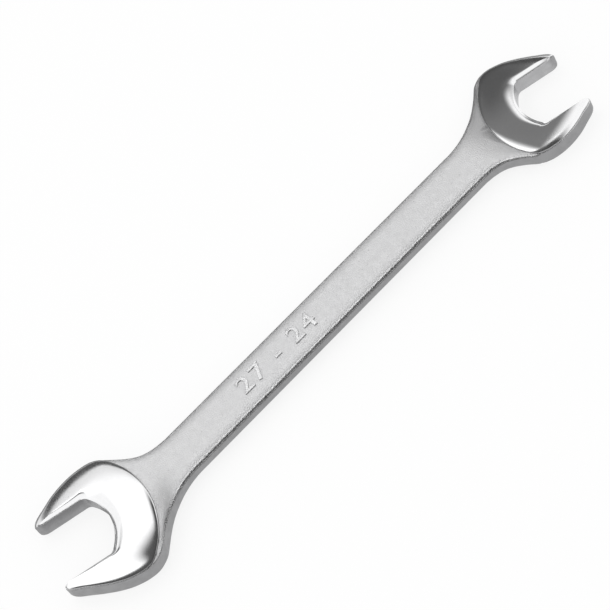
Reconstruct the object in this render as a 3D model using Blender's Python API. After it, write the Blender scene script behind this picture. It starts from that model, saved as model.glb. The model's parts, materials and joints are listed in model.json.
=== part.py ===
"""Double open end wrench: one drop forging, with a polished jaw at each end of a flat shank.

The shank runs along X, the large head is at -X, and the wrench lies flat with +Z up. The
origin is under the middle of the wrench, on the surface that its heads lie on.
"""

import math
from typing import NamedTuple

import bmesh
import bpy
from mathutils import Matrix, Vector

# Sizes of the whole forging, in metres
NUT_CLEARANCE = 0.0002
HEAD_SPACING = 0.2042
HEAD_THICKNESS = 0.0094
BLANK_THICKNESS = 0.0058
TIP_THINNING = 0.0007
SHANK_EDGE_ROUND = 0.0015
HEAD_EDGE_ROUND = 0.0003
FACE_SETBACK = 0.0002
FACE_STEP = 0.0003
JAW_WALL_HEIGHT = 0.0062
JAW_EDGE_ROUND = 0.0015
THROAT_EDGE_ROUND = 0.0028
CUT_OVERRUN = 0.002
JAW_TURN_DEG = 15.0


class Head(NamedTuple):
    """The sizes of one head, in metres.

    Reaches run along the jaw line from the head's middle, which is half the head spacing from
    the wrench's middle and shank_offset off the shank's middle line. Both offsets are towards
    the outer side, where the jaw turns away from the shank.
    """

    nut: float
    width: float
    width_offset: float
    shank_offset: float
    tip_reach: float
    throat_reach: float
    throat_radius: float
    throat_corner: float
    web: float
    face_radius: float
    mouth_round: float
    neck_reach: float
    neck_width: float


LARGE_HEAD = Head(
    nut=0.027,
    width=0.0540,
    width_offset=0.0008,
    shank_offset=-0.00045,
    tip_reach=0.0293,
    throat_reach=0.0034,
    throat_radius=0.0200,
    throat_corner=0.0026,
    web=0.0163,
    face_radius=0.0388,
    mouth_round=0.0050,
    neck_reach=0.0300,
    neck_width=0.0199,
)
SMALL_HEAD = Head(
    nut=0.024,
    width=0.0481,
    width_offset=0.0007,
    shank_offset=0.00045,
    tip_reach=0.0247,
    throat_reach=0.0023,
    throat_radius=0.0186,
    throat_corner=0.0024,
    web=0.0136,
    face_radius=0.0356,
    mouth_round=0.0046,
    neck_reach=0.0267,
    neck_width=0.0194,
)

# A head's side from the jaw tip back to the shoulder: along the jaw line as a share of the
# tip's reach, and out from the head's own middle line as a share of half its width
OUTER_SIDE_SHARES = (
    (1.0, 0.522), (0.975, 0.572), (0.92, 0.622), (0.80, 0.692), (0.64, 0.793), (0.45, 0.897),
    (0.29, 0.960), (0.13, 0.991), (0.01, 0.998), (-0.09, 0.974), (-0.17, 0.925), (-0.25, 0.850),
)
INNER_SIDE_SHARES = (
    (1.0, 0.575), (0.975, 0.628), (0.92, 0.680), (0.80, 0.752), (0.64, 0.853), (0.466, 0.930),
    (0.29, 0.977), (0.15, 0.990), (0.04, 0.985), (-0.05, 0.963),
)
# A neck from the shoulder to the straight shank: along the shank as a share of the neck's
# reach, and out from the shank's edge as a share of how far the head stands out from it
OUTER_NECK_SHARES = (
    (0.14, 0.686), (0.235, 0.540), (0.35, 0.385), (0.45, 0.275),
    (0.56, 0.180), (0.67, 0.103), (0.80, 0.040), (0.90, 0.012), (1.0, 0.0),
)
INNER_NECK_SHARES = (
    (0.335, 0.725), (0.43, 0.525), (0.50, 0.382), (0.57, 0.260),
    (0.65, 0.150), (0.75, 0.069), (0.87, 0.020), (1.0, 0.0),
)
# The dome's middle as a share of the tip's reach, and its level top as a share of its outline
DOME_MIDDLE_SHARE = 0.24
DOME_TOP_SHARE = 0.6
# Where the tips start to thin, as a share of the tip's reach
THINNING_START_SHARE = 0.7
# Where the mouth starts to open, back from the tip, as a share of the mouth's rounding
MOUTH_START_SHARE = 0.73

CURVE_STEPS = 3
FACE_STEPS = 28
THROAT_STEPS = 18
CORNER_STEPS = 5
MOUTH_STEPS = 6
DOME_STEPS = 6
ROUND_STEPS = 3
EDGE_FLARE_DEG = 68.0
SHARP_DEG = 35.0


def smooth_run(points, steps=CURVE_STEPS):
    """Points on a centripetal Catmull-Rom curve through the given points, ends included."""
    ends = [points[0] * 2 - points[1], *points, points[-1] * 2 - points[-2]]
    run = []
    for p0, p1, p2, p3 in zip(ends, ends[1:], ends[2:], ends[3:]):
        t0 = 0
        t1 = math.sqrt((p1 - p0).length)
        t2 = t1 + math.sqrt((p2 - p1).length)
        t3 = t2 + math.sqrt((p3 - p2).length)
        for step in range(steps):
            t = t1 + (t2 - t1) * step / steps
            a1 = p0.lerp(p1, (t - t0) / (t1 - t0))
            a2 = p1.lerp(p2, (t - t1) / (t2 - t1))
            a3 = p2.lerp(p3, (t - t2) / (t3 - t2))
            b1 = a1.lerp(a2, (t - t0) / (t2 - t0))
            b2 = a2.lerp(a3, (t - t1) / (t3 - t1))
            run.append(b1.lerp(b2, (t - t1) / (t2 - t1)))
    return [*run, points[-1]]


def inward_normals(outline):
    """Unit vectors into a closed outline that runs counter-clockwise."""
    normals = []
    for before, after in zip([outline[-1], *outline[:-1]], [*outline[1:], outline[0]]):
        along = (after - before).normalized()
        normals.append(Vector((-along.y, along.x)))
    return normals


def stacked_body(name, rings):
    """A closed body through rings of as many points each, from the lowest ring to the highest."""
    mesh = bmesh.new()
    loops = []
    for ring in rings:
        verts = [mesh.verts.new(point) for point in ring]
        loops.append([mesh.edges.new(pair) for pair in zip(verts, [*verts[1:], verts[0]])])
    for lower, upper in zip(loops, loops[1:]):
        bmesh.ops.bridge_loops(mesh, edges=[*lower, *upper])
    caps = [bmesh.ops.contextual_create(mesh, geom=loop)["faces"][0] for loop in (loops[0], loops[-1])]
    bmesh.ops.triangulate(mesh, faces=caps)
    bmesh.ops.recalc_face_normals(mesh, faces=mesh.faces)
    data = bpy.data.meshes.new(name)
    mesh.to_mesh(data)
    mesh.free()
    body = bpy.data.objects.new(name, data)
    bpy.context.scene.collection.objects.link(body)
    return body


def on_wrench(head, points):
    """Points along and out from a head's jaw line, placed on the wrench's +X end."""
    turn = Matrix.Rotation(-math.radians(JAW_TURN_DEG), 2)
    return [turn @ point + Vector((HEAD_SPACING / 2, head.shank_offset)) for point in points]


def side_run(head, side_shares, neck_shares, side):
    """One side of the blank at the +X end, from the jaw's tip back to the straight shank."""
    flank = [
        Vector((along * head.tip_reach, head.width_offset + side * out * head.width / 2))
        for along, out in side_shares
    ]
    edge = head.neck_width / 2
    stand_out = head.width / 2 - edge
    neck = [
        Vector((HEAD_SPACING / 2 - along * head.neck_reach, side * (edge + out * stand_out)))
        for along, out in neck_shares
    ]
    return smooth_run([*on_wrench(head, flank), *neck])


def side_runs(head):
    """Both sides of the blank at the +X end: the jaw's outer side, then its inner side."""
    outer = side_run(head, OUTER_SIDE_SHARES, OUTER_NECK_SHARES, 1)
    inner = side_run(head, INNER_SIDE_SHARES, INNER_NECK_SHARES, -1)
    return outer, inner


def blank_half(head):
    """The outline of one end of the blank, counter-clockwise from the shank's inner edge."""
    outer, inner = side_runs(head)
    return [*reversed(inner), *outer]


def edge_rounds(head, outline):
    """The blank's edge rounding at each outline point: small at the head, full on the shank."""
    rounds = []
    for point in outline:
        share = min(max((HEAD_SPACING / 2 - point.x) / head.neck_reach, 0), 1)
        rounds.append(HEAD_EDGE_ROUND + (SHANK_EDGE_ROUND - HEAD_EDGE_ROUND) * share)
    return rounds


def rim_heights(head, outline):
    """The blank's top edge at each outline point of the +X end: level, and falling towards the tips."""
    middle, tip = on_wrench(head, [Vector((0, 0)), Vector((head.tip_reach, 0))])
    heights = []
    for point in outline:
        reach = (point - middle).dot(tip - middle) / (tip - middle).length_squared
        past = min(max(reach - THINNING_START_SHARE, 0) / (1 - THINNING_START_SHARE), 1)
        heights.append(BLANK_THICKNESS / 2 - TIP_THINNING * past * past)
    return heights


def turned_round(points):
    """Points turned half a turn about the middle of the wrench."""
    return [-point for point in points]


def both_faces(name, upper):
    """A closed body from its upper half's rings, with the same rings turned over below them."""
    lower = [[Vector((p.x, p.y, -p.z)) for p in ring] for ring in reversed(upper)]
    return stacked_body(name, [*lower, *upper])


def make_blank():
    """The flat blank: shank, necks and both heads' outlines, with rounded long edges."""
    small, large = blank_half(SMALL_HEAD), blank_half(LARGE_HEAD)
    outline = [*small, *turned_round(large)]
    rounds = [*edge_rounds(SMALL_HEAD, small), *edge_rounds(LARGE_HEAD, large)]
    heights = [*rim_heights(SMALL_HEAD, small), *rim_heights(LARGE_HEAD, large)]
    edge_points = list(zip(outline, inward_normals(outline), rounds, heights))
    upper = []
    for step in range(ROUND_STEPS + 1):
        turn = math.pi / 2 * step / ROUND_STEPS
        ring = []
        for point, normal, size, height in edge_points:
            level = height - size * (1 - math.sin(turn))
            ring.append((point + normal * size * (1 - math.cos(turn))).to_3d() + Vector((0, 0, level)))
        upper.append(ring)
    return both_faces("wrench_forging", upper)


def face_outline(head):
    """A polished face's outline at the +X end: both sides, joined behind by the face's back arc.

    Along the sides it takes the points halfway between the blank's own, so that the dome's edges
    cross the blank's faces and never run into the blank's edges.
    """
    middle = Vector((head.throat_reach - head.web + head.face_radius, head.width_offset))
    centre = on_wrench(head, [middle])[0]
    sides = []
    turns = []
    for run in side_runs(head):
        halfway = [before.lerp(after, 0.5) for before, after in zip(run, run[1:])]
        kept = [point for point in halfway if (point - centre).length < head.face_radius]
        across = run[len(kept)] - centre
        sides.append(kept)
        turns.append(math.atan2(across.y, across.x) % math.tau)
    back = []
    for step in range(FACE_STEPS + 1):
        turn = turns[0] + (turns[1] - turns[0]) * step / FACE_STEPS
        back.append(centre + Vector((math.cos(turn), math.sin(turn))) * head.face_radius)
    outline = [*sides[0], *back, *reversed(sides[1])]
    return [point + normal * FACE_SETBACK for point, normal in zip(outline, inward_normals(outline))]


def make_dome(name, head, turned):
    """A head's two domed faces as one lens, thicker than the blank that it stands in."""
    outline = face_outline(head)
    middle = on_wrench(head, [Vector((DOME_MIDDLE_SHARE * head.tip_reach, 0))])[0]
    rims = [height + FACE_STEP for height in rim_heights(head, outline)]
    upper = []
    for step in range(DOME_STEPS + 1):
        turn = math.pi / 2 * step / DOME_STEPS
        share = 1 - (1 - DOME_TOP_SHARE) * (1 - math.cos(turn))
        placed = [middle + (point - middle) * share for point in outline]
        if turned:
            placed = turned_round(placed)
        heights = [rim + (HEAD_THICKNESS / 2 - rim) * math.sin(turn) for rim in rims]
        upper.append([Vector((p.x, p.y, height)) for p, height in zip(placed, heights)])
    return both_faces(name, upper)


def backward(turn):
    """The unit vector at an angle from the jaw line's backward way, towards the outer side."""
    return Vector((-math.cos(turn), math.sin(turn)))


def jaw_outline(head):
    """The jaw opening's outline, the way out of it at each point, and its edge rounding there."""
    half = (head.nut + NUT_CLEARANCE) / 2
    radius, corner = head.throat_radius, head.throat_corner
    throat = Vector((head.throat_reach + radius, 0))
    meet = math.asin((half - corner) / (radius - corner))
    corner_middle = throat + backward(meet) * (radius - corner)
    mouth = Vector((head.tip_reach - MOUTH_START_SHARE * head.mouth_round, half + head.mouth_round))
    wall = []
    for step in range(MOUTH_STEPS + 1):
        out = -backward(math.pi + math.pi / 2 * step / MOUTH_STEPS)
        wall.append((mouth - out * head.mouth_round, out, JAW_EDGE_ROUND))
    for step in range(CORNER_STEPS + 1):
        share = step / CORNER_STEPS
        out = backward(math.pi / 2 + (meet - math.pi / 2) * share)
        size = JAW_EDGE_ROUND + (THROAT_EDGE_ROUND - JAW_EDGE_ROUND) * share
        wall.append((corner_middle + out * corner, out, size))
    back = []
    for step in range(1, THROAT_STEPS):
        out = backward(meet * (1 - 2 * step / THROAT_STEPS))
        back.append((throat + out * radius, out, THROAT_EDGE_ROUND))
    other_wall = [(Vector((p.x, -p.y)), Vector((out.x, -out.y)), size) for p, out, size in wall]
    return [*wall, *back, *reversed(other_wall)]


def flare_levels():
    """The cutter's upper levels: its spread as a share of the edge rounding, and its height."""
    wall = JAW_WALL_HEIGHT / 2
    rise = HEAD_THICKNESS / 2 - wall
    end = math.radians(EDGE_FLARE_DEG)
    levels = []
    for step in range(ROUND_STEPS + 1):
        turn = end * step / ROUND_STEPS
        spread = (1 - math.cos(turn)) / (1 - math.cos(end))
        levels.append((spread, wall + rise * math.sin(turn) / math.sin(end)))
    (spread_before, height_before), (spread, height) = levels[-2:]
    past = CUT_OVERRUN / (height - height_before)
    return [*levels, (spread + (spread - spread_before) * past, height + CUT_OVERRUN)]


def make_jaw_cutter(name, head, turned):
    """What a jaw opening takes out of its head, widening over the rounded edges of both faces."""
    outline = jaw_outline(head)
    upper = []
    for spread, height in flare_levels():
        placed = on_wrench(head, [point + out * size * spread for point, out, size in outline])
        if turned:
            placed = turned_round(placed)
        upper.append([Vector((p.x, p.y, height)) for p in placed])
    return both_faces(name, upper)


def combine(body, other, operation):
    """Adds a Boolean that joins a guide body to this one, or cuts it out of this one."""
    modifier = body.modifiers.new(other.name, "BOOLEAN")
    modifier.object = other
    modifier.operation = operation
    modifier.solver = "EXACT"
    other.hide_render = True
    other.display_type = "WIRE"


def chrome_plating():
    """Satin chrome, as on the shank."""
    material = bpy.data.materials.new("satin_chrome")
    material.use_nodes = True
    shader = material.node_tree.nodes["Principled BSDF"]
    shader.inputs["Base Color"].default_value = (0.62, 0.62, 0.63, 1.0)
    shader.inputs["Metallic"].default_value = 1.0
    shader.inputs["Roughness"].default_value = 0.32
    return material


def finish(body):
    """Applies the Booleans, removes their guides, and centres the body over the origin."""
    graph = bpy.context.evaluated_depsgraph_get()
    mesh = bpy.data.meshes.new_from_object(body.evaluated_get(graph))
    for modifier in list(body.modifiers):
        guide = modifier.object
        body.modifiers.remove(modifier)
        bpy.data.objects.remove(guide)
    body.data = mesh
    axes = list(zip(*(vertex.co for vertex in mesh.vertices)))
    low = Vector([min(axis) for axis in axes])
    high = Vector([max(axis) for axis in axes])
    middle = (low + high) / 2
    mesh.transform(Matrix.Translation((-middle.x, -middle.y, -low.z)))
    mesh.shade_smooth()
    mesh.set_sharp_from_angle(angle=math.radians(SHARP_DEG))


def main():
    for old in list(bpy.data.objects):
        bpy.data.objects.remove(old)
    forging = make_blank()
    for name, head, turned in (("large", LARGE_HEAD, True), ("small", SMALL_HEAD, False)):
        combine(forging, make_dome(f"{name}_dome", head, turned), "UNION")
        combine(forging, make_jaw_cutter(f"{name}_jaw_cutter", head, turned), "DIFFERENCE")
    forging.data.materials.append(chrome_plating())
    finish(forging)


main()
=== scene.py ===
"""The look of a double open end wrench: its fine surface, its finishes and the studio it lies in.

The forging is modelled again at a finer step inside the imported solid's own box: a flat blank
with rounded edges, a polished dome on each side of both heads, and the two jaw openings. The
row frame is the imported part's: metres, +Z up, the large head at -X, the bench at z = 0.
"""

import json
import logging
import math
from dataclasses import dataclass, field
from enum import Enum

import bmesh
import bpy
from mathutils import Matrix, Quaternion, Vector
from mathutils.kdtree import KDTree

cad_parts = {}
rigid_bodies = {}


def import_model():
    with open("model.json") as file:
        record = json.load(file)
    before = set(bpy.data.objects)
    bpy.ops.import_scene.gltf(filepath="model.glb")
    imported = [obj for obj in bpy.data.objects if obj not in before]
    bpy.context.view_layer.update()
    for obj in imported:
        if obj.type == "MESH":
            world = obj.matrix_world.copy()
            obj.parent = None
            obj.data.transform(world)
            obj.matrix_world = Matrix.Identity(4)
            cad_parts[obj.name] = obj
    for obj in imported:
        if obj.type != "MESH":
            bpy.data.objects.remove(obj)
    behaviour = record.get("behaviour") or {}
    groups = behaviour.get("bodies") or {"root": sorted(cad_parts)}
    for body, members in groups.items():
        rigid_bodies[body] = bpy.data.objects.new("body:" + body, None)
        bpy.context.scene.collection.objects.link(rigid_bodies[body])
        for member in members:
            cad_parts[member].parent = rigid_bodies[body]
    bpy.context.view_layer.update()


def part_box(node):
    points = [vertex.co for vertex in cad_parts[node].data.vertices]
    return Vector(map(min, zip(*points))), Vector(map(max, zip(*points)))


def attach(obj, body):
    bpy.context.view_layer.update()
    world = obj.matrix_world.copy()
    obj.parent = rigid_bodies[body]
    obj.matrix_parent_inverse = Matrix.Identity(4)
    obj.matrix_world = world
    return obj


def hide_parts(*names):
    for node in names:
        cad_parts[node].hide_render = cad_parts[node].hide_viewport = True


LOG = logging.getLogger("wrench")
FORGING_NODE = "wrench_forging"
EDGE_LAYER = "edge"

# An outline has a corner where it turns by more than this, and its points lean away from a
# corner that is nearer than this share of their own inset
CORNER_TURN = math.radians(30)
LEAN_SHARE = 1.6

Ring = list[Vector]
Feed = bpy.types.NodeSocket | float | tuple[float, ...]


class Side(Enum):
    """Which side of a head: the outer, where the jaw turns away from the shank, or the inner."""

    OUTER = 1
    INNER = -1


class End(Enum):
    """Which end of the wrench a head stands at."""

    LARGE = -1
    SMALL = 1


@dataclass(frozen=True)
class Profile:
    """One side of a head as shares: first its flank, then its neck down to the straight shank."""

    flank_shares: tuple[tuple[float, float], ...]
    neck_shares: tuple[tuple[float, float], ...]


OUTER_PROFILE = Profile(
    flank_shares=(
        (1.0, 0.522), (0.975, 0.572), (0.92, 0.622), (0.80, 0.692), (0.64, 0.793), (0.45, 0.897),
        (0.29, 0.960), (0.13, 0.991), (0.01, 0.998), (-0.09, 0.974), (-0.17, 0.925), (-0.25, 0.850),
    ),
    neck_shares=(
        (0.14, 0.686), (0.235, 0.540), (0.35, 0.385), (0.45, 0.275),
        (0.56, 0.180), (0.67, 0.103), (0.80, 0.040), (0.90, 0.012), (1.0, 0.0),
    ),
)
INNER_PROFILE = Profile(
    flank_shares=(
        (1.0, 0.575), (0.975, 0.628), (0.92, 0.680), (0.80, 0.752), (0.64, 0.853),
        (0.466, 0.930), (0.29, 0.977), (0.15, 0.990), (0.04, 0.985), (-0.05, 0.963),
    ),
    neck_shares=(
        (0.335, 0.725), (0.43, 0.525), (0.50, 0.382), (0.57, 0.260),
        (0.65, 0.150), (0.75, 0.069), (0.87, 0.020), (1.0, 0.0),
    ),
)


def smooth_run(points: Ring, steps: int) -> Ring:
    """Lays a centripetal Catmull-Rom curve through points.

    Args:
        points: The points that the curve passes through.
        steps: How many points each stretch between two of them gets.

    Returns:
        The curve's points, the first and the last given ones included.
    """
    ends = [points[0] * 2 - points[1], *points, points[-1] * 2 - points[-2]]
    run: Ring = []
    for p0, p1, p2, p3 in zip(ends, ends[1:], ends[2:], ends[3:]):
        t0 = 0.0
        t1 = math.sqrt((p1 - p0).length)
        t2 = t1 + math.sqrt((p2 - p1).length)
        t3 = t2 + math.sqrt((p3 - p2).length)
        for step in range(steps):
            t = t1 + (t2 - t1) * step / steps
            a1 = p0.lerp(p1, (t - t0) / (t1 - t0))
            a2 = p1.lerp(p2, (t - t1) / (t2 - t1))
            a3 = p2.lerp(p3, (t - t2) / (t3 - t2))
            b1 = a1.lerp(a2, (t - t0) / (t2 - t0))
            b2 = a2.lerp(a3, (t - t1) / (t3 - t1))
            run.append(b1.lerp(b2, (t - t1) / (t2 - t1)))
    return [*run, points[-1]]


def inward_normals(outline: Ring) -> Ring:
    """Finds the unit vectors into a closed outline.

    Args:
        outline: The points, counter-clockwise.

    Returns:
        A unit vector for each point.
    """
    normals = []
    for before, after in zip([outline[-1], *outline[:-1]], [*outline[1:], outline[0]]):
        along = (after - before).normalized()
        normals.append(Vector((-along.y, along.x)))
    return normals


def corner_places(outline: Ring) -> list[int]:
    """Lists the places where a closed outline turns sharply to the left.

    Args:
        outline: The points, counter-clockwise.

    Returns:
        The places in the outline, in order.
    """
    found = []
    for place, point in enumerate(outline):
        into = point - outline[place - 1]
        out_of = outline[(place + 1) % len(outline)] - point
        if into.cross(out_of) > math.sin(CORNER_TURN) * into.length * out_of.length:
            found.append(place)
    return found


def inset(outline: Ring, sizes: list[float]) -> Ring:
    """Moves a closed outline's points inwards, leaning them away from its corners.

    Near a sharp corner the points lean along the outline, so that no two of their paths cross.

    Args:
        outline: The points, counter-clockwise.
        sizes: How far each point moves.

    Returns:
        The moved points.
    """
    normals = inward_normals(outline)
    count = len(outline)
    leaning = list(normals)
    for corner in corner_places(outline):
        for way in (1, -1):
            travelled = 0.0
            place = corner
            for _ in range(count):
                after = (place + way) % count
                travelled += (outline[after] - outline[place]).length
                place = after
                reach = LEAN_SHARE * sizes[place]
                if travelled >= reach:
                    break
                lean = normals[corner].lerp(normals[place], travelled / reach)
                leaning[place] = lean.normalized()
    return [point + way * size for point, way, size in zip(outline, leaning, sizes)]


def softened(ring: Ring, passes: int, closed: bool = True) -> Ring:
    """Evens out corners by drawing each point towards its two neighbours.

    Args:
        ring: The points, in order.
        passes: How often it is done.
        closed: Whether the last point has the first as its neighbour; if not, both ends stay.

    Returns:
        The evened points.
    """
    for _ in range(passes):
        eased = [
            point * 0.5 + (before + after) * 0.25
            for before, point, after in zip([ring[-1], *ring[:-1]], ring, [*ring[1:], ring[0]])
        ]
        ring = eased if closed else [ring[0], *eased[1:-1], ring[-1]]
    return ring


def at_heights(points: Ring, heights: list[float]) -> Ring:
    """Puts each point at its own height."""
    return [Vector((point.x, point.y, height)) for point, height in zip(points, heights)]


def backward(turn: float) -> Vector:
    """Gives the unit vector at an angle from the jaw line's backward way, to the outer side."""
    return Vector((-math.cos(turn), math.sin(turn)))


def deselect_all() -> None:
    """Clears the selection, because an operator acts on all that is selected."""
    bpy.ops.object.select_all(action="DESELECT")


def make_active(body: bpy.types.Object) -> None:
    """Selects one object alone and makes it the active one.

    Args:
        body: The object.
    """
    deselect_all()
    body.select_set(True)
    bpy.context.view_layer.objects.active = body


def extruded_body(name: str, rings: list[Ring], finishes: list[bpy.types.Material],
                  bands: list[int]) -> bpy.types.Object:
    """Models a closed body by extruding a filled circle from ring to ring.

    Args:
        name: The object's name.
        rings: Rings of as many points each, from the lowest to the highest.
        finishes: The materials in the body's slots.
        bands: The slot of the finish of each band between two rings.

    Returns:
        The new object, with its caps triangulated and its faces pointing outwards.
    """
    deselect_all()
    bpy.ops.mesh.primitive_circle_add(vertices=len(rings[0]), fill_type="NGON")
    body = bpy.context.object
    body.name = body.data.name = name
    for finish in finishes:
        body.data.materials.append(finish)
    place = body.data.attributes.new("place", "INT", "POINT")
    place.data.foreach_set("value", range(len(rings[0])))
    for vertex, point in zip(body.data.vertices, rings[0]):
        vertex.co = point
    bpy.ops.object.mode_set(mode="EDIT")
    bpy.ops.mesh.select_mode(type="FACE")
    bpy.ops.mesh.select_all(action="SELECT")
    for slot, ring in zip(bands, rings[1:]):
        mesh = bmesh.from_edit_mesh(body.data)
        before = set(mesh.faces)
        bpy.ops.mesh.extrude_region_move()
        mesh = bmesh.from_edit_mesh(body.data)
        layer = mesh.verts.layers.int["place"]
        for vert in mesh.verts:
            if vert.select:
                vert.co = ring[vert[layer]]
        for face in mesh.faces:
            if face not in before and not face.select:
                face.material_index = slot
        bmesh.update_edit_mesh(body.data)
    bpy.ops.mesh.select_all(action="DESELECT")
    mesh = bmesh.from_edit_mesh(body.data)
    for face in mesh.faces:
        face.select = len(face.verts) > 4
    bmesh.update_edit_mesh(body.data)
    bpy.ops.mesh.quads_convert_to_tris(quad_method="BEAUTY", ngon_method="BEAUTY")
    bpy.ops.mesh.select_all(action="SELECT")
    bpy.ops.mesh.normals_make_consistent(inside=False)
    bpy.ops.object.mode_set(mode="OBJECT")
    body.data.attributes.remove(body.data.attributes["place"])
    return body


def mirrored_rings(upper: list[Ring]) -> list[Ring]:
    """Puts the same rings turned over below the upper ones."""
    lower = [[Vector((p.x, p.y, -p.z)) for p in ring] for ring in reversed(upper)]
    return [*lower, *upper]


def middle_bands(rings: list[Ring], beside: int) -> list[int]:
    """Gives a mirrored stack's middle the second finish and the rest of it the first.

    Args:
        rings: The stack's rings, as many below the middle as above.
        beside: How many bands on each side of the middle band are of the second finish too.

    Returns:
        The slot of each band's finish.
    """
    plain = [0] * (len(rings) // 2 - 1 - beside)
    return [*plain, *[1] * (2 * beside + 1), *plain]


def apply_boolean(body: bpy.types.Object, other: bpy.types.Object, operation: str) -> None:
    """Joins another body to this one or cuts it out, and removes the other body.

    Args:
        body: The body that keeps the result.
        other: The body that is joined or cut out.
        operation: UNION or DIFFERENCE.
    """
    make_active(body)
    modifier = body.modifiers.new(other.name, "BOOLEAN")
    modifier.object = other
    modifier.operation = operation
    modifier.solver = "EXACT"
    modifier.material_mode = "TRANSFER"
    bpy.ops.object.modifier_apply(modifier=modifier.name)
    bpy.data.objects.remove(other)


def mark_edges(body: bpy.types.Object, tightest_bend: float = 700.0, near: int = 12) -> None:
    """Stores on each point how tightly the surface rounds outwards there, from 0, flat, to 1.

    Args:
        body: The body whose mesh gets the layer.
        tightest_bend: The bend, as one over its radius, that counts as a full edge.
        near: How many neighbouring points each point is compared with.
    """
    mesh = body.data
    tree = KDTree(len(mesh.vertices))
    for vertex in mesh.vertices:
        tree.insert(vertex.co, vertex.index)
    tree.balance()
    normals = [vertex.normal.copy() for vertex in mesh.vertices]
    shares = []
    for vertex in mesh.vertices:
        bend = 0.0
        for place, index, distance in tree.find_n(vertex.co, near):
            if distance > 0:
                turned = (normals[index] - vertex.normal).dot(place - vertex.co)
                bend = max(bend, turned / distance ** 2)
        shares.append(min(bend / tightest_bend, 1.0))
    totals = list(shares)
    counts = [1] * len(shares)
    for edge in mesh.edges:
        for one, other in (edge.vertices, reversed(edge.vertices)):
            totals[one] += shares[other]
            counts[one] += 1
    layer = mesh.attributes.new(EDGE_LAYER, "FLOAT", "POINT")
    layer.data.foreach_set("value", [total / count for total, count in zip(totals, counts)])


class Wiring:
    """Adds shader nodes to one node tree and joins them."""

    def __init__(self, tree: bpy.types.ShaderNodeTree) -> None:
        """Starts on a node tree."""
        self.tree = tree

    def add(self, kind: str, **settings: object) -> bpy.types.ShaderNode:
        """Adds a node and sets its own settings.

        Args:
            kind: The node's type name without its leading ShaderNode.
            settings: The node's settings by name.

        Returns:
            The new node.
        """
        node = self.tree.nodes.new(f"ShaderNode{kind}")
        for name, value in settings.items():
            setattr(node, name, value)
        return node

    def feed(self, socket: bpy.types.NodeSocket, value: Feed) -> None:
        """Joins a socket to another node's output, or sets its plain value.

        Args:
            socket: The input that is fed.
            value: The output or the plain value.
        """
        if isinstance(value, bpy.types.NodeSocket):
            self.tree.links.new(value, socket)
        else:
            socket.default_value = value

    def calc(self, operation: str, first: Feed, second: Feed = 0.0) -> bpy.types.NodeSocket:
        """Adds a Math node.

        Args:
            operation: What it does, such as ADD.
            first: Its first value.
            second: Its second value, where it has one.

        Returns:
            Its result.
        """
        node = self.add("Math", operation=operation)
        self.feed(node.inputs[0], first)
        self.feed(node.inputs[1], second)
        return node.outputs[0]

    def ramp(self, value: Feed, start: Feed, end: Feed, low: Feed = 0.0,
             high: Feed = 1.0) -> bpy.types.NodeSocket:
        """Maps a value smoothly from one range to another.

        Args:
            value: What is mapped.
            start: The value that gives the low result.
            end: The value that gives the high result.
            low: The result up to the start.
            high: The result past the end.

        Returns:
            The mapped value.
        """
        node = self.add("MapRange", interpolation_type="SMOOTHSTEP")
        for place, each in enumerate((value, start, end, low, high)):
            self.feed(node.inputs[place], each)
        return node.outputs[0]

    def tint(self, share: Feed, first: Feed, second: Feed) -> bpy.types.NodeSocket:
        """Mixes two colours.

        Args:
            share: How much of the second colour shows.
            first: The colour at a share of 0.
            second: The colour at a share of 1.

        Returns:
            The mixed colour.
        """
        node = self.add("Mix", data_type="RGBA")
        self.feed(node.inputs["Factor"], share)
        self.feed(node.inputs[6], first)
        self.feed(node.inputs[7], second)
        return node.outputs[2]

    def group(self, tree: bpy.types.ShaderNodeTree, **values: Feed) -> bpy.types.NodeSocket:
        """Places a shared group with its own values.

        Args:
            tree: The group.
            values: The value of each input, named as the input in small letters.

        Returns:
            The group's one output.
        """
        node = self.add("Group", node_tree=tree)
        for name, value in values.items():
            self.feed(node.inputs[name.capitalize()], value)
        return node.outputs[0]


GroupParts = tuple[Wiring, dict[str, bpy.types.NodeSocket], bpy.types.NodeSocket]


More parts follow.
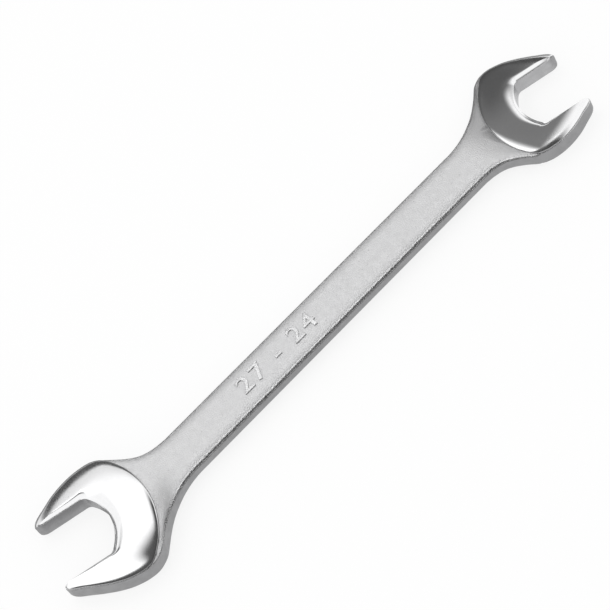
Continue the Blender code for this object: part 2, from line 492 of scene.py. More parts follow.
@dataclass
class Effects:
    """The effects that materials share, each a node group that is built once."""

    noise_middle: float = 0.5
    cloud_detail: float = 2.0
    scratch_detail: float = 3.0
    breaks_per_scratch: float = 3.0
    break_range: tuple[float, float] = (0.5, 0.62)
    wear_detail: float = 4.0
    wear_range: tuple[float, float] = (0.25, 0.85)

    def __post_init__(self) -> None:
        """Builds every group."""
        self.cloud = self.build_cloud()
        self.pits = self.build_pits()
        self.scratches = self.build_scratches()
        self.wear = self.build_wear()
        self.soft_edge = self.build_soft_edge()

    def start(self, name: str, inputs: dict[str, float | None], output: str) -> GroupParts:
        """Starts a group with named inputs and one value as its output.

        Args:
            name: The group's name.
            inputs: Each input's standard value, or None for a vector.
            output: The output's name.

        Returns:
            The wiring of the group, its inputs by name and its output.
        """
        tree = bpy.data.node_groups.new(name, "ShaderNodeTree")
        for label, value in inputs.items():
            kind = "NodeSocketVector" if value is None else "NodeSocketFloat"
            socket = tree.interface.new_socket(name=label, in_out="INPUT", socket_type=kind)
            if value is not None:
                socket.default_value = value
        tree.interface.new_socket(name=output, in_out="OUTPUT", socket_type="NodeSocketFloat")
        entry = tree.nodes.new("NodeGroupInput")
        way_out = tree.nodes.new("NodeGroupOutput")
        given = {label: entry.outputs[label] for label in inputs}
        return Wiring(tree), given, way_out.inputs[output]

    def build_cloud(self) -> bpy.types.ShaderNodeTree:
        """Makes even noise of one size, from fine grain to broad mottling.

        Returns:
            The group.
        """
        wiring, given, out = self.start(
            "cloud", {"Place": None, "Size": 0.001, "Contrast": 0.2}, "Cloud")
        noise = wiring.add("TexNoise", noise_dimensions="3D")
        wiring.feed(noise.inputs["Vector"], given["Place"])
        wiring.feed(noise.inputs["Scale"], wiring.calc("DIVIDE", 1.0, given["Size"]))
        noise.inputs["Detail"].default_value = self.cloud_detail
        start = wiring.calc("SUBTRACT", self.noise_middle, given["Contrast"])
        end = wiring.calc("ADD", self.noise_middle, given["Contrast"])
        wiring.feed(out, wiring.ramp(noise.outputs[0], start, end))
        return wiring.tree

    def build_pits(self) -> bpy.types.ShaderNodeTree:
        """Makes a few small round pits, scattered without a pattern.

        Returns:
            The group.
        """
        wiring, given, out = self.start(
            "pits", {"Place": None, "Spacing": 0.003, "Radius": 0.0003, "Share": 0.4}, "Pits")
        cells = wiring.add("TexVoronoi", voronoi_dimensions="3D", feature="F1")
        wiring.feed(cells.inputs["Vector"], given["Place"])
        wiring.feed(cells.inputs["Scale"], wiring.calc("DIVIDE", 1.0, given["Spacing"]))
        reach = wiring.calc("MULTIPLY", cells.outputs["Distance"], given["Spacing"])
        spot = wiring.ramp(reach, given["Radius"], 0.0)
        chosen = wiring.add("SeparateColor")
        wiring.feed(chosen.inputs[0], cells.outputs["Color"])
        kept = wiring.calc("LESS_THAN", chosen.outputs[0], given["Share"])
        wiring.feed(out, wiring.calc("MULTIPLY", spot, kept))
        return wiring.tree

    def build_scratches(self) -> bpy.types.ShaderNodeTree:
        """Makes broken hairlines along the place's own Y.

        Returns:
            The group.
        """
        inputs = {"Place": None, "Spacing": 0.002, "Length": 0.03, "Share": 0.02}
        wiring, given, out = self.start("scratches", inputs, "Scratches")
        squeeze = wiring.add("CombineXYZ")
        wiring.feed(squeeze.inputs[0], wiring.calc("DIVIDE", 1.0, given["Spacing"]))
        wiring.feed(squeeze.inputs[1], wiring.calc("DIVIDE", 1.0, given["Length"]))
        wiring.feed(squeeze.inputs[2], wiring.calc("DIVIDE", 1.0, given["Length"]))
        drawn = wiring.add("VectorMath", operation="MULTIPLY")
        wiring.feed(drawn.inputs[0], given["Place"])
        wiring.feed(drawn.inputs[1], squeeze.outputs[0])
        lines = wiring.add("TexNoise", noise_dimensions="3D")
        wiring.feed(lines.inputs["Vector"], drawn.outputs[0])
        lines.inputs["Scale"].default_value = 1.0
        lines.inputs["Detail"].default_value = self.scratch_detail
        off_middle = wiring.calc("SUBTRACT", lines.outputs[0], self.noise_middle)
        hair = wiring.ramp(wiring.calc("ABSOLUTE", off_middle), given["Share"], 0.0)
        breaks = wiring.add("TexNoise", noise_dimensions="3D")
        wiring.feed(breaks.inputs["Vector"], given["Place"])
        spread = wiring.calc("DIVIDE", self.breaks_per_scratch, given["Length"])
        wiring.feed(breaks.inputs["Scale"], spread)
        whole = wiring.ramp(breaks.outputs[0], *self.break_range)
        wiring.feed(out, wiring.calc("MULTIPLY", hair, whole))
        return wiring.tree

    def build_wear(self) -> bpy.types.ShaderNodeTree:
        """Makes rubbed edges: strong on the tightest rounds, and broken up between them.

        Returns:
            The group.
        """
        wiring, given, out = self.start(
            "edge_wear", {"Place": None, "Edge": 0.0, "Size": 0.002, "Amount": 1.0}, "Wear")
        noise = wiring.add("TexNoise", noise_dimensions="3D")
        wiring.feed(noise.inputs["Vector"], given["Place"])
        wiring.feed(noise.inputs["Scale"], wiring.calc("DIVIDE", 1.0, given["Size"]))
        noise.inputs["Detail"].default_value = self.wear_detail
        uneven = wiring.calc("SUBTRACT", noise.outputs[0], self.noise_middle)
        rubbed = wiring.ramp(wiring.calc("ADD", given["Edge"], uneven), *self.wear_range)
        wiring.feed(out, wiring.calc("MULTIPLY", rubbed, given["Amount"]))
        return wiring.tree

    def build_soft_edge(self) -> bpy.types.ShaderNodeTree:
        """Makes the cover of a flat sheet, which fades out towards its four sides.

        Returns:
            The group.
        """
        wiring, given, out = self.start("soft_edge", {"Place": None, "Softness": 0.25}, "Cover")
        split = wiring.add("SeparateXYZ")
        wiring.feed(split.inputs[0], given["Place"])
        inner = wiring.calc("SUBTRACT", 1.0, given["Softness"])
        cover: Feed = 1.0
        for axis in (0, 1):
            rise = wiring.ramp(split.outputs[axis], 0.0, given["Softness"])
            fall = wiring.ramp(split.outputs[axis], 1.0, inner)
            cover = wiring.calc("MULTIPLY", cover, wiring.calc("MULTIPLY", rise, fall))
        wiring.feed(out, cover)
        return wiring.tree


@dataclass(frozen=True)
class ChromeFinish:
    """What every chrome finish on the forging shares: grain, mottling, pits, scratches and wear.

    Sizes and depths are in metres. Metal has no body colour, so the colour is the plate's own;
    only the wall chrome's dark colour is painted shade.
    """

    name: str
    colour: tuple[float, float, float]
    dull_colour: tuple[float, float, float]
    rubbed_colour: tuple[float, float, float]
    roughness: float
    roughness_spread: float
    rubbed_smoothing: float
    grain_size: float
    grain_depth: float
    mottle_size: float
    pit_share: float
    pit_radius: float
    pit_depth: float
    scratch_spacing: float
    scratch_length: float
    scratch_share: float
    scratch_depth: float
    scratch_turn_deg: float
    wear_amount: float
    metal_share: float = 1.0
    pit_spacing: float = 0.0030
    pit_shade: float = 0.45
    pit_colour: tuple[float, float, float] = (0.05, 0.05, 0.05)
    mottle_contrast: float = 0.16
    grain_contrast: float = 0.24
    bare_edge_range: tuple[float, float] = (0.1, 0.5)

    def build(self, effects: Effects) -> bpy.types.Material:
        """Makes the material from the shared effects.

        Args:
            effects: The node groups that it uses.

        Returns:
            The new material.
        """
        material = bpy.data.materials.new(self.name)
        material.use_nodes = True
        wiring = Wiring(material.node_tree)
        shader = material.node_tree.nodes["Principled BSDF"]
        place = wiring.add("TexCoord").outputs["Object"]
        turned = wiring.add("Mapping")
        wiring.feed(turned.inputs["Vector"], place)
        turned.inputs["Rotation"].default_value = (0.0, 0.0, math.radians(self.scratch_turn_deg))
        edge = wiring.add("Attribute", attribute_type="GEOMETRY", attribute_name=EDGE_LAYER)
        grain = wiring.group(
            effects.cloud, place=place, size=self.grain_size, contrast=self.grain_contrast)
        mottle = wiring.group(
            effects.cloud, place=place, size=self.mottle_size, contrast=self.mottle_contrast)
        pits = wiring.group(
            effects.pits, place=place, spacing=self.pit_spacing, radius=self.pit_radius,
            share=self.pit_share)
        scratches = wiring.group(
            effects.scratches, place=turned.outputs[0], spacing=self.scratch_spacing,
            length=self.scratch_length, share=self.scratch_share)
        wear = wiring.group(
            effects.wear, place=place, edge=edge.outputs["Fac"], size=self.mottle_size,
            amount=self.wear_amount)
        dulling = wiring.calc("MULTIPLY", wiring.calc("ADD", grain, mottle), 0.5)
        plate = wiring.tint(dulling, (*self.colour, 1.0), (*self.dull_colour, 1.0))
        plate = wiring.tint(wear, plate, (*self.rubbed_colour, 1.0))
        pitted = wiring.calc("MULTIPLY", pits, self.pit_shade)
        plate = wiring.tint(pitted, plate, (*self.pit_colour, 1.0))
        wiring.feed(shader.inputs["Base Color"], plate)
        uneven = wiring.ramp(
            dulling, 0.0, 1.0, self.roughness - self.roughness_spread,
            self.roughness + self.roughness_spread)
        torn = wiring.calc("MULTIPLY", scratches, self.roughness_spread)
        marked = wiring.calc("ADD", uneven, torn)
        smoothing = wiring.calc("MULTIPLY", wear, self.rubbed_smoothing)
        wiring.feed(shader.inputs["Roughness"], wiring.calc("SUBTRACT", marked, smoothing))
        relief = wiring.calc("MULTIPLY", grain, self.grain_depth)
        for dents, depth in ((pits, self.pit_depth), (scratches, self.scratch_depth)):
            relief = wiring.calc("SUBTRACT", relief, wiring.calc("MULTIPLY", dents, depth))
        bump = wiring.add("Bump")
        bump.inputs["Distance"].default_value = 1.0
        wiring.feed(bump.inputs["Height"], relief)
        wiring.feed(shader.inputs["Normal"], bump.outputs[0])
        if self.metal_share < 1.0:
            bare = wiring.ramp(edge.outputs["Fac"], *self.bare_edge_range, self.metal_share, 1.0)
            wiring.feed(shader.inputs["Metallic"], bare)
        else:
            shader.inputs["Metallic"].default_value = 1.0
        return material


SATIN_CHROME = ChromeFinish(
    name="satin_chrome", colour=(0.65, 0.65, 0.655), dull_colour=(0.61, 0.61, 0.615),
    rubbed_colour=(0.76, 0.76, 0.765), roughness=0.42, roughness_spread=0.07,
    rubbed_smoothing=0.16, grain_size=0.00042, grain_depth=0.00006, mottle_size=0.0026,
    pit_share=0.45, pit_radius=0.00034, pit_depth=0.00006, scratch_spacing=0.0024,
    scratch_length=0.050, scratch_share=0.010, scratch_depth=0.000003, scratch_turn_deg=78.0,
    wear_amount=0.8, metal_share=0.6, mottle_contrast=0.25,
)
POLISHED_CHROME = ChromeFinish(
    name="polished_chrome", colour=(0.79, 0.79, 0.795), dull_colour=(0.75, 0.75, 0.755),
    rubbed_colour=(0.81, 0.81, 0.815), roughness=0.13, roughness_spread=0.035,
    rubbed_smoothing=0.02, grain_size=0.00060, grain_depth=0.0000015, mottle_size=0.0060,
    pit_share=0.10, pit_radius=0.00024, pit_depth=0.00002, scratch_spacing=0.0016,
    scratch_length=0.026, scratch_share=0.008, scratch_depth=0.0000012, scratch_turn_deg=24.0,
    wear_amount=0.5,
)
# Its dark colour is painted shade on the walls, the dome steps and the rounds beside the walls
SHADE_PAINTED_CHROME = ChromeFinish(
    name="shade_painted_chrome", colour=(0.33, 0.33, 0.335), dull_colour=(0.29, 0.29, 0.295),
    rubbed_colour=(0.35, 0.35, 0.355), roughness=0.42, roughness_spread=0.06,
    rubbed_smoothing=0.12, grain_size=0.00050, grain_depth=0.000008, mottle_size=0.0030,
    pit_share=0.20, pit_radius=0.00028, pit_depth=0.00004, scratch_spacing=0.0018,
    scratch_length=0.016, scratch_share=0.012, scratch_depth=0.000003, scratch_turn_deg=90.0,
    wear_amount=0.4,
)


@dataclass(frozen=True)
class HeadSizes:
    """The sizes of one head.

    Reaches run along the jaw line from the head's middle. Both offsets are towards the outer
    side, where the jaw turns away from the shank.
    """

    end: End
    nut: float
    width: float
    width_offset: float
    shank_offset: float
    tip_reach: float
    throat_reach: float
    throat_radius: float
    throat_corner: float
    web: float
    face_radius: float
    mouth_round: float
    neck_reach: float
    neck_width: float


@dataclass
class Forging:
    """The wrench itself: a flat blank, two domed heads and two open jaws, all one piece."""

    nut_clearance: float = 0.0002
    head_spacing: float = 0.2042
    head_thickness: float = 0.0094
    blank_thickness: float = 0.0058
    tip_thinning: float = 0.0007
    shank_edge_round: float = 0.0015
    head_edge_round: float = 0.0003
    shoulder_width: float = 0.0036
    shoulder_drop: float = 0.00060
    least_shoulder_share: float = 0.10
    level_margin: float = 0.0010
    face_setback: float = 0.0002
    face_step: float = 0.0003
    crown_fall: float = 0.00012
    jaw_wall_height: float = 0.0062
    mouth_edge_round: float = 0.0012
    jaw_edge_round: float = 0.0024
    throat_edge_round: float = 0.0046
    cut_overrun: float = 0.002
    jaw_turn_deg: float = 15.0
    edge_flare_deg: float = 40.0
    sharp_deg: float = 30.0
    dome_middle_share: float = 0.24
    dome_top_share: float = 0.6
    dome_cap_share: float = 0.04
    thinning_start_share: float = 0.7
    hook_start_share: float = 0.55
    hook_reach_share: float = 0.45
    hook_width_share: float = 0.5
    mouth_start_share: float = 0.73
    curve_steps: int = 8
    face_steps: int = 90
    throat_steps: int = 48
    corner_steps: int = 12
    mouth_steps: int = 12
    dome_steps: int = 24
    crown_steps: int = 8
    round_steps: int = 8
    # How many bands of each edge round and of each dome's foot take the wall chrome's painted shade
    shade_round_steps: int = 3
    shade_rim_steps: int = 1
    shoulder_steps: int = 8
    sharp_levels: int = 3
    softening: int = 2
    corner_softening: int = 60
    corner_reach: int = 16
    large: HeadSizes = field(default_factory=lambda: HeadSizes(
        end=End.LARGE, nut=0.027, width=0.0540, width_offset=0.0008, shank_offset=-0.00045,
        tip_reach=0.0293, throat_reach=0.0034, throat_radius=0.0200, throat_corner=0.0026,
        web=0.0163, face_radius=0.0388, mouth_round=0.0050, neck_reach=0.0300, neck_width=0.0199,
    ))
    small: HeadSizes = field(default_factory=lambda: HeadSizes(
        end=End.SMALL, nut=0.024, width=0.0481, width_offset=0.0007, shank_offset=0.00045,
        tip_reach=0.0247, throat_reach=0.0023, throat_radius=0.0186, throat_corner=0.0024,
        web=0.0136, face_radius=0.0356, mouth_round=0.0046, neck_reach=0.0267, neck_width=0.0194,
    ))

    def on_wrench(self, head: HeadSizes, points: Ring) -> Ring:
        """Places points along and out from a head's jaw line on the wrench's +X end.

        Args:
            head: The head.
            points: The points, as their reach along the jaw line and their way out from it.

        Returns:
            The points on the wrench.
        """
        turn = Matrix.Rotation(-math.radians(self.jaw_turn_deg), 2)
        shift = Vector((self.head_spacing / 2, head.shank_offset))
        return [turn @ point + shift for point in points]

    def at_end(self, head: HeadSizes, points: Ring) -> Ring:
        """Turns points of the +X end half round for the large head, and leaves the small's."""
        return [point * head.end.value for point in points]

    def side_run(self, head: HeadSizes, profile: Profile, side: Side) -> Ring:
        """Runs along one side of the blank at the +X end, from the jaw's tip to the shank.

        Args:
            head: The head.
            profile: The shares that give the side its form.
            side: Which side it is.

        Returns:
            The side's points.
        """
        half = head.width / 2
        edge = head.neck_width / 2
        flank = [
            Vector((along * head.tip_reach, head.width_offset + side.value * out * half))
            for along, out in profile.flank_shares
        ]
        neck = [
            Vector((
                self.head_spacing / 2 - along * head.neck_reach,
                side.value * (edge + out * (half - edge)),
            ))
            for along, out in profile.neck_shares
        ]
        return smooth_run([*self.on_wrench(head, flank), *neck], self.curve_steps)

    def side_runs(self, head: HeadSizes) -> tuple[Ring, Ring]:
        """Gives both sides of the blank at the +X end: the outer one, then the inner."""
        pairs = ((OUTER_PROFILE, Side.OUTER), (INNER_PROFILE, Side.INNER))
        return tuple(self.side_run(head, profile, side) for profile, side in pairs)

    def reaches(self, head: HeadSizes, outline: Ring) -> list[float]:
        """Finds how far along the jaw line each point lies.

        Args:
            head: The head.
            outline: The points at the +X end.

        Returns:
            A share of the tip's reach for each point.
        """
        middle, tip = self.on_wrench(head, [Vector((0, 0)), Vector((head.tip_reach, 0))])
        along = tip - middle
        return [(point - middle).dot(along) / along.length_squared for point in outline]

    def rim_heights(self, head: HeadSizes, outline: Ring) -> list[float]:
        """Finds the blank's top edge at each point: level, and falling towards the tips.

        Args:
            head: The head.
            outline: The points at the +X end.

        Returns:
            The height at each point.
        """
        start = self.thinning_start_share
        heights = []
        for reach in self.reaches(head, outline):
            past = min(max(reach - start, 0) / (1 - start), 1)
            heights.append(self.blank_thickness / 2 - self.tip_thinning * past * past)
        return heights

    def hooked(self, head: HeadSizes, outline: Ring, level: Ring) -> Ring:
        """Draws a level ring's ends back from the thinned tips, to deep inside the head.

        Args:
            head: The head that the outline is of.
            outline: The blank's outline at the +X end.
            level: The level ring's points there before they are drawn back.

        Returns:
            The level ring's points.
        """
        middle, back = self.on_wrench(
            head, [Vector((0, 0)), Vector((self.hook_reach_share * head.tip_reach, 0))]
        )
        start = self.hook_start_share
        drawn = []
        for point, near, reach in zip(outline, level, self.reaches(head, outline)):
            past = min(max(reach - start, 0) / (1 - start), 1)
            foot = middle + (back - middle) * reach / self.hook_reach_share
            target = back + (point - foot) * self.hook_width_share
            drawn.append(near.lerp(target, past * past * (3 - 2 * past)))
        return drawn

    def shank_shares(self, head: HeadSizes, outline: Ring) -> list[float]:
        """Finds how far each point has come from the head's middle to the straight shank."""
        start = self.head_spacing / 2
        return [min(max((start - point.x) / head.neck_reach, 0), 1) for point in outline]

    def blank_rings(self) -> list[Ring]:
        """Stacks the flat blank: rounded long edges, low shoulders, then a level ring.

        Returns:
            The rings from the lower face to the upper.
        """
        outline: Ring = []
        shares: list[float] = []
        heights: list[float] = []
        halves: list[tuple[HeadSizes, Ring]] = []
        for head in (self.small, self.large):
            outer, inner = self.side_runs(head)
            half = [*reversed(inner), *outer]
            halves.append((head, half))
            outline += self.at_end(head, half)
            shares += self.shank_shares(head, half)
            heights += self.rim_heights(head, half)
        least = self.least_shoulder_share
        growth = self.shank_edge_round - self.head_edge_round
        rounds = [self.head_edge_round + growth * share for share in shares]
        widths = [self.shoulder_width * (least + (1 - least) * share) for share in shares]
        drops = [self.shoulder_drop * share for share in shares]
        upper = []
        for step in range(self.round_steps + 1):
            turn = math.pi / 2 * step / self.round_steps
            placed = inset(outline, [size * (1 - math.cos(turn)) for size in rounds])
            lows = [drop + size * (1 - math.sin(turn)) for drop, size in zip(drops, rounds)]
            upper.append(at_heights(placed, [top - low for top, low in zip(heights, lows)]))
        for step in range(1, self.shoulder_steps + 1):
            share = step / self.shoulder_steps
            placed = inset(outline, [size + width * share for size, width in zip(rounds, widths)])
            lows = [drop * (1 - share) ** 2 for drop in drops]
            upper.append(at_heights(placed, [top - low for top, low in zip(heights, lows)]))
        margin = self.level_margin
        near = inset(outline, [size + width + margin for size, width in zip(rounds, widths)])
        level: Ring = []
        for head, half in halves:
            own = self.at_end(head, near[len(level):len(level) + len(half)])
            level += self.at_end(head, self.hooked(head, half, own))
        upper.append(at_heights(level, [self.blank_thickness / 2] * len(level)))
        return mirrored_rings(upper)

    def face_outline(self, head: HeadSizes) -> Ring:
        """Outlines a polished face at the +X end: both sides, joined behind by its back arc.

        Args:
            head: The head.

        Returns:
            The outline, counter-clockwise.
        """
        middle = Vector((head.throat_reach - head.web + head.face_radius, head.width_offset))
        centre = self.on_wrench(head, [middle])[0]
        sides = []
        turns = []
        for run in self.side_runs(head):
            halfway = [before.lerp(after, 0.5) for before, after in zip(run, run[1:])]
            kept = [point for point in halfway if (point - centre).length < head.face_radius]
            across = run[len(kept)] - centre
            sides.append(kept)
            turns.append(math.atan2(across.y, across.x) % math.tau)
        back = []
        for step in range(self.face_steps + 1):
            turn = turns[0] + (turns[1] - turns[0]) * step / self.face_steps
            back.append(centre + Vector((math.cos(turn), math.sin(turn))) * head.face_radius)
        outline = [*sides[0], *back, *reversed(sides[1])]
        for corner in (len(sides[0]), len(sides[0]) + len(back)):
            for _ in range(self.corner_softening):
                near = slice(corner - self.corner_reach, corner + self.corner_reach)
                outline[near] = softened(outline[near], 1, closed=False)
        return inset(outline, [self.face_setback] * len(outline))

    def dome_levels(self) -> list[tuple[float, float, float]]:
        """Lists the dome's levels from its rim to its crown.

        Returns:
            Each level's spread, its rise from the rim and its fall from the crown, as shares.
        """
        levels = []
        for step in range(self.dome_steps + 1):
            turn = math.pi / 2 * step / self.dome_steps
            levels.append((1 - (1 - self.dome_top_share) * (1 - math.cos(turn)), math.sin(turn)))
        narrowing = self.dome_cap_share - self.dome_top_share
        for step in range(1, self.crown_steps + 1):
            levels.append((self.dome_top_share + narrowing * (step / self.crown_steps), 1.0))
        return [(spread, rise, spread * spread) for spread, rise in levels]

    def dome_rings(self, head: HeadSizes) -> list[Ring]:
        """Stacks a head's two domed faces as one lens, thicker than the blank it stands in.

        Args:
            head: The head.

        Returns:
            The rings from the lower crown to the upper.
        """
        outline = self.face_outline(head)
        middle = self.on_wrench(head, [Vector((self.dome_middle_share * head.tip_reach, 0))])[0]
        rims = [height + self.face_step for height in self.rim_heights(head, outline)]
        rim = at_heights(outline, rims)
        upper = []
        for level, (spread, rise, fall) in enumerate(self.dome_levels()):
            if level >= self.sharp_levels:
                rim = softened(rim, self.softening)
            top = self.head_thickness / 2 - self.crown_fall * fall
            placed = self.at_end(head, [middle + (point.xy - middle) * spread for point in rim])
            upper.append(at_heights(placed, [point.z + (top - point.z) * rise for point in rim]))
        return mirrored_rings(upper)

    def jaw_outline(self, head: HeadSizes) -> list[tuple[Vector, Vector, float]]:
        """Outlines a jaw opening along and out from the jaw line.

        Args:
            head: The head.

        Returns:
            Each point, the way out of the opening there and the size of the rounding there.
        """
        half = (head.nut + self.nut_clearance) / 2
        radius, corner = head.throat_radius, head.throat_corner
        throat = Vector((head.throat_reach + radius, 0))
        meet = math.asin((half - corner) / (radius - corner))
        corner_middle = throat + backward(meet) * (radius - corner)
        start = head.tip_reach - self.mouth_start_share * head.mouth_round
        mouth = Vector((start, half + head.mouth_round))
        wall = []
        for step in range(self.mouth_steps + 1):
            out = -backward(math.pi + math.pi / 2 * step / self.mouth_steps)
            share = step / self.mouth_steps
            size = self.mouth_edge_round + (self.jaw_edge_round - self.mouth_edge_round) * share
            wall.append((mouth - out * head.mouth_round, out, size))
        for step in range(self.corner_steps + 1):
            share = step / self.corner_steps
            out = backward(math.pi / 2 + (meet - math.pi / 2) * share)
            size = self.jaw_edge_round + (self.throat_edge_round - self.jaw_edge_round) * share
            wall.append((corner_middle + out * corner, out, size))
        back = []
        for step in range(1, self.throat_steps):
            out = backward(meet * (1 - 2 * step / self.throat_steps))
            back.append((throat + out * radius, out, self.throat_edge_round))
        other = [(Vector((p.x, -p.y)), Vector((out.x, -out.y)), size) for p, out, size in wall]
        return [*wall, *back, *reversed(other)]

    def flare_levels(self) -> list[tuple[float, float]]:
        """Lists the levels of the upper half of what a jaw opening takes out.

        The rounding starts with a crisp edge at the wall and runs out level with the face.

        Returns:
            Each level's spread, as a share of the rounding, and its height.
        """
        wall = self.jaw_wall_height / 2
        rise = self.head_thickness / 2 - wall
        steepest = math.radians(self.edge_flare_deg)
        levels = []
        for step in range(self.round_steps + 1):
            turn = steepest * (1 - step / self.round_steps)
            spread = 1 - math.sin(turn) / math.sin(steepest)
            height = wall + rise * (1 - (1 - math.cos(turn)) / (1 - math.cos(steepest)))
            levels.append((spread, height))
        return [*levels, (1.0, wall + rise + self.cut_overrun)]

    def jaw_rings(self, head: HeadSizes) -> list[Ring]:
        """Stacks what a jaw opening takes out, widening over the rounded edges of both faces.

        Args:
            head: The head.

        Returns:
            The rings from the lowest to the highest.
        """
        outline = self.jaw_outline(head)
        upper = []
        for spread, height in self.flare_levels():
            widened = [point + out * size * spread for point, out, size in outline]
            placed = self.at_end(head, self.on_wrench(head, widened))
            upper.append(at_heights(placed, [height] * len(placed)))
        return mirrored_rings(upper)

    def build(self, satin: bpy.types.Material, polished: bpy.types.Material,
              wall: bpy.types.Material) -> bpy.types.Object:
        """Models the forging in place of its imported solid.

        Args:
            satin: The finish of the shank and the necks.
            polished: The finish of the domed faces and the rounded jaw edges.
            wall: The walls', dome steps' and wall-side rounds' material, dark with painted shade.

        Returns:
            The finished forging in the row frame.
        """
        rings = self.blank_rings()
        # The wall and the lower rounds beside it take the wall chrome, whose dark colour is painted
        # shade
        bands = middle_bands(rings, self.shade_round_steps)
        body = extruded_body("forging", rings, [satin, wall], bands)
        for head in (self.large, self.small):
            label = head.end.name.lower()
            rings = self.dome_rings(head)
            # The dome's foot step takes the same painted shade
            bands = middle_bands(rings, self.shade_rim_steps)
            dome = extruded_body(f"{label}_dome", rings, [polished, wall], bands)
            apply_boolean(body, dome, "UNION")
            rings = self.jaw_rings(head)
            # The jaw wall takes the same painted shade
            bands = middle_bands(rings, 0)
            cutter = extruded_body(f"{label}_jaw", rings, [polished, wall], bands)
            apply_boolean(body, cutter, "DIFFERENCE")
        make_active(body)
        bpy.ops.object.shade_smooth_by_angle(angle=math.radians(self.sharp_deg))
        low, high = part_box(FORGING_NODE)
        corners = [Vector(corner) for corner in body.bound_box]
        middle = (corners[0] + corners[6]) / 2
        body.data.transform(Matrix.Translation((low + high) / 2 - middle))
        mark_edges(body)
        return body


@dataclass
class SizeNumbers:
    """The raised nut sizes in the middle of the shank, as plain digits cast with the forging."""

    words: str = "27 - 24"
    size: float = 0.0108
    spacing: float = 1.20
    relief: float = 0.00042
    sunk: float = 0.00040
    edge_round: float = 0.00016
    stroke_growth: float = 0.00001
    merge_share: float = 0.01
    sharp_deg: float = 40.0
    round_steps: int = 3
    middle: tuple[float, float] = (-0.0200, 0.0001)
    surface: float = 0.0076

    def build(self, satin: bpy.types.Material) -> bpy.types.Object:
        """Models the digits on the shank's upper face.

        Args:
            satin: The finish of the face that they rise from.

        Returns:
            The digits as one mesh in the row frame.
        """
        deselect_all()
        bpy.ops.object.text_add()
        digits = bpy.context.object
        text = digits.data
        text.body = self.words
        text.size = self.size
        text.space_character = self.spacing
        text.align_x = "CENTER"
        text.align_y = "CENTER"
        text.offset = self.stroke_growth
        text.bevel_depth = self.edge_round
        text.bevel_resolution = self.round_steps
        half = (self.relief + self.sunk) / 2
        text.extrude = half - self.edge_round
        make_active(digits)
        bpy.ops.object.convert(target="MESH")
        digits = bpy.context.object
        digits.name = digits.data.name = "size_numbers"
        low, high = (Vector(digits.bound_box[corner]) for corner in (0, 6))
        height = self.surface + self.relief - half
        shift = Vector((*self.middle, height)) - (low + high) / 2
        digits.data.transform(Matrix.Translation(shift))
        digits.data.materials.clear()
        digits.data.materials.append(satin)
        bpy.ops.object.mode_set(mode="EDIT")
        bpy.ops.mesh.select_all(action="SELECT")
        bpy.ops.mesh.remove_doubles(threshold=self.edge_round * self.merge_share)
        bpy.ops.mesh.normals_make_consistent(inside=False)
        bpy.ops.object.mode_set(mode="OBJECT")
        bpy.ops.object.shade_smooth_by_angle(angle=math.radians(self.sharp_deg))
        mark_edges(digits)
        return digits


@dataclass(frozen=True)
class Card:
    """A soft-edged studio card, grey or glowing, that only the metal's reflections show."""

    name: str
    middle: tuple[float, float, float]
    size: tuple[float, float]
    glow: float
    softness: float = 0.25
    tilt_deg: float = 0.0
    turn_deg: float = 0.0
    cuts: int = 3

    def build(self, effects: Effects) -> bpy.types.Object:
        """Hangs the card in its place.

        Args:
            effects: The node groups that its face uses.

        Returns:
            The card.
        """
        deselect_all()
        bpy.ops.mesh.primitive_plane_add(size=1.0)
        card = bpy.context.object
        card.name = self.name
        bpy.ops.object.mode_set(mode="EDIT")
        bpy.ops.mesh.subdivide(number_cuts=self.cuts)
        bpy.ops.object.mode_set(mode="OBJECT")
        card.scale = (*self.size, 1.0)
        card.rotation_euler = (math.radians(self.tilt_deg), 0.0, math.radians(self.turn_deg))
        card.location = self.middle
        card.data.materials.append(self.build_face(effects))
        show_to_metal_only(card)
        return card

    def build_face(self, effects: Effects) -> bpy.types.Material:
        """Makes the card's face, which fades out towards its edges.

        Args:
            effects: The node groups that it uses.

        Returns:
            The new material.
        """
        material = bpy.data.materials.new(self.name)
        material.use_nodes = True
        wiring = Wiring(material.node_tree)
        place = wiring.add("TexCoord").outputs["UV"]
        cover = wiring.group(effects.soft_edge, place=place, softness=self.softness)
        glowing_face(wiring, material, self.glow, cover)
        return material


def show_to_metal_only(body: bpy.types.Object) -> None:
    """Hides a studio body from everything but reflections.

    Args:
        body: The card or wall.
    """
    body.visible_camera = False
    body.visible_diffuse = False
    body.visible_transmission = False
    body.visible_volume_scatter = False
    body.visible_shadow = False


def glowing_face(wiring: Wiring, material: bpy.types.Material, glow: float, cover: Feed) -> None:
    """Gives a material a plain glow that covers it by a share and is clear elsewhere.

    Args:
        wiring: The wiring of the material.
        material: The material.
        glow: The strength of the glow, where 1 is white.
        cover: The share that is covered, from 0 to 1.
    """
    light = wiring.add("Emission")
    light.inputs["Strength"].default_value = glow
    mix = wiring.add("MixShader")
    wiring.feed(mix.inputs[0], cover)
    wiring.feed(mix.inputs[1], wiring.add("BsdfTransparent").outputs[0])
    wiring.feed(mix.inputs[2], light.outputs[0])
    wiring.feed(material.node_tree.nodes["Material Output"].inputs["Surface"], mix.outputs[0])


